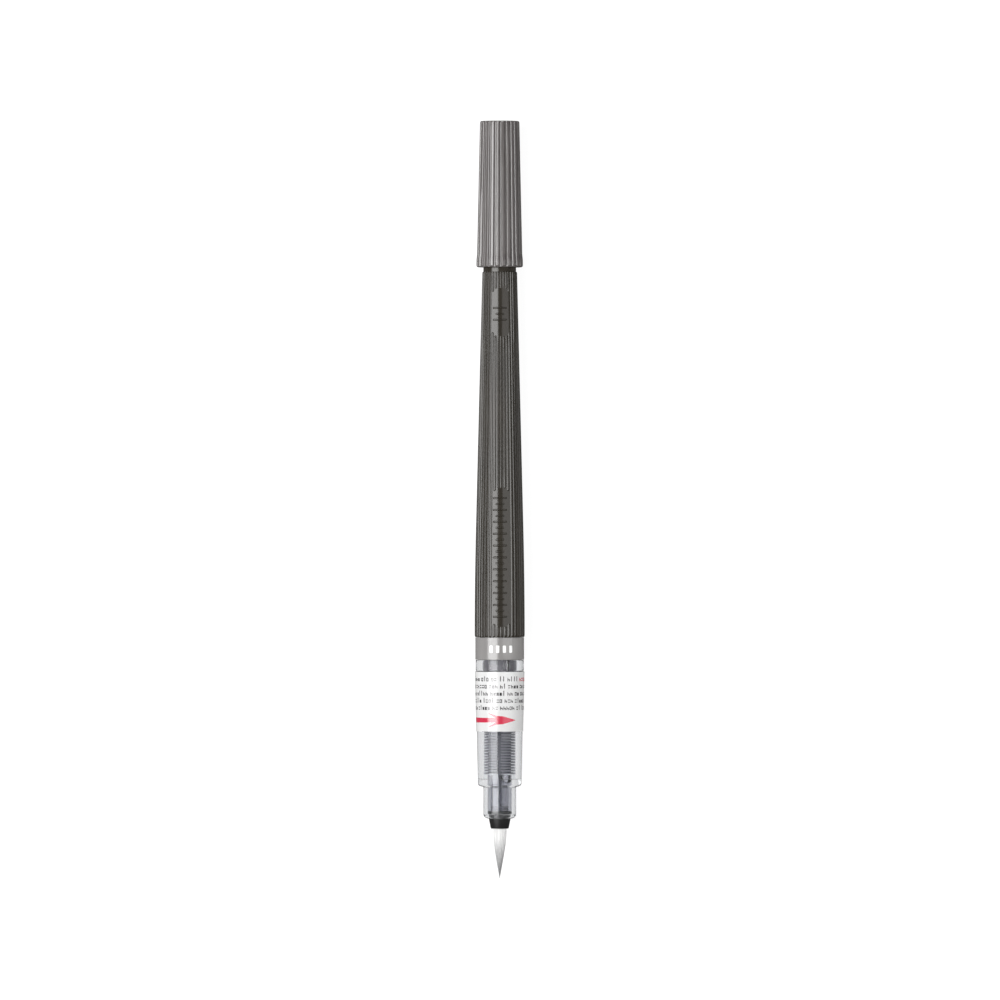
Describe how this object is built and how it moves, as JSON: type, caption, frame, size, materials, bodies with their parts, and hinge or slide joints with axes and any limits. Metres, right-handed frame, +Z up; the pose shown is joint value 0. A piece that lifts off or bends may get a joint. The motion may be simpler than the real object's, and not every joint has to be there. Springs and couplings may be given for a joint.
{
  "type": "calligraphy brush pen",
  "caption": "Brush pen with a tapered ribbed squeeze cartridge, clear front housing over a finned ink collector, bristle tip, and a ribbed cap posted on the tail.",
  "frame": {"origin": "centre of the bounding box's bottom: under the middle of the pen's length, on the plane that it lies on", "axes": "+Y along the pen from the brush tip to the end of the posted cap, +Z up out of its front, the side with the smooth panels and the label's arrow"},
  "size_m": [0.013, 0.1968, 0.013],
  "materials": {
    "cap": "satin moulded ribs",
    "cap_liner": "matte",
    "barrel": "glossy soft plastic, ribbed",
    "color_ring": "satin",
    "clear_plastic": "clear polished",
    "label": "white film with a plain arrow and dashes",
    "collector": "moulded fins",
    "frosted_inner": "frosted",
    "feed": "bonded fibre",
    "ferrule": "black, slightly worn gloss",
    "bristles": "white synthetic bristles",
    "gasket": "matte",
    "ball": "polished"
  },
  "bodies": {
    "brush_head": {"brush_tuft": "bristles", "tuft_root": "bristles", "ferrule": "ferrule", "brush_holder": "frosted_inner", "feed_rod": "feed", "feed_tube": "feed", "front_housing": "clear_plastic", "label_wrap": "label", "ink_collector": "collector", "tube_seat": "frosted_inner", "piercing_tube": "frosted_inner", "neck_gasket": "gasket"},
    "stop_ring": {"stop_ring": "clear_plastic"},
    "cartridge": {"ink_barrel": "barrel", "color_ring": "color_ring", "neck_plug": "frosted_inner"},
    "seal_ball": {"seal_ball": "ball"},
    "cap": {"cap_shell": "cap", "cap_liner": "cap_liner"}
  },
  "joints": [
    {"name": "cartridge_advance", "type": "slide", "parent": "brush_head", "child": "stop_ring", "axis": [0, 1, 0], "range_m": [0, 0.0061]},
    {"name": "cartridge_turn", "type": "hinge", "parent": "stop_ring", "child": "cartridge", "pos_m": [0, -0.04, 0.0065], "axis": [0, 1, 0], "range_deg": [0, 1080]},
    {"name": "cap_pull", "type": "slide", "parent": "cartridge", "child": "cap", "axis": [0, 1, 0], "range_m": [0, 0.02]},
    {"name": "ball_push", "type": "slide", "parent": "cartridge", "child": "seal_ball", "axis": [0, 1, 0], "range_m": [0, 0.112]}
  ],
  "couplings": [
    {"joint": "cartridge_advance", "follows": "cartridge_turn", "m_per_rad": 0.00031831}
  ]
}
